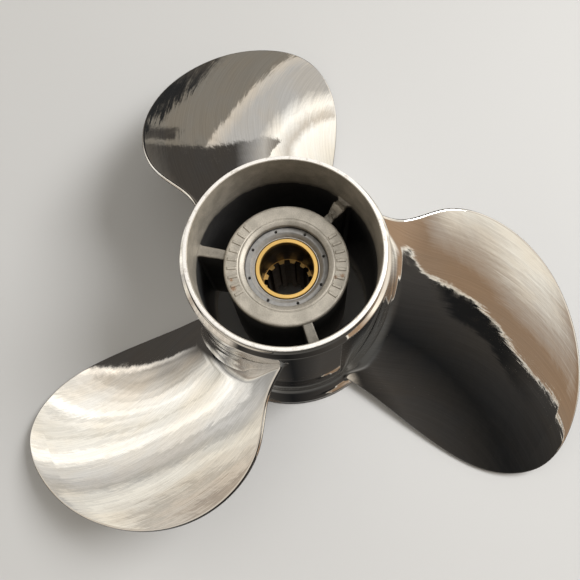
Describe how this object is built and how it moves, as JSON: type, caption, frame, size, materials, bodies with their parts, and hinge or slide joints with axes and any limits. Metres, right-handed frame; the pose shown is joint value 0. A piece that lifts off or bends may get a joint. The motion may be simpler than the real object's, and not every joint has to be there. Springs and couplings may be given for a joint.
{
  "type": "outboard boat propeller",
  "caption": "Right-hand outboard propeller: raked skewed blades on an exhaust barrel with a diffuser ring, rubber-cushioned splined drive sleeve in a webbed inner hub.",
  "frame": {"origin": "on the shaft axis, in the front seating face of the drive sleeve, at the mouth of the pilot bore", "axes": "+Z along the shaft axis towards the gearcase (front end); +X through the middle of the root of blade_1"},
  "size_m": [0.2481, 0.2535, 0.0926],
  "materials": {
    "polished_steel": "hand-polished stainless steel, mirror bright with fine grinding streaks",
    "cast_steel": "investment-cast stainless steel, matte blasted grey with a fine grain",
    "machined_steel": "machined steel, satin",
    "rubber": "matte grey moulded rubber with a dusty bloom",
    "sleeve_brass": "machined brass, satin on the end face, darker in the bore"
  },
  "bodies": {
    "propeller": {"outer_barrel": "polished_steel", "diffuser_ring": "polished_steel", "inner_hub": "cast_steel", "web_1": "cast_steel", "web_2": "cast_steel", "web_3": "cast_steel", "blade_1": "polished_steel", "blade_2": "polished_steel", "blade_3": "polished_steel", "rubber_damper": "rubber"},
    "drive_core": {"bond_tube": "machined_steel", "drive_sleeve": "sleeve_brass"}
  },
  "joints": [
    {"name": "damper_twist", "type": "hinge", "parent": "propeller", "child": "drive_core", "pos_m": [0, 0, 0], "axis": [0, 0, 1], "range_deg": [-10, 10], "stiffness_Nm_per_rad": 600}
  ]
}
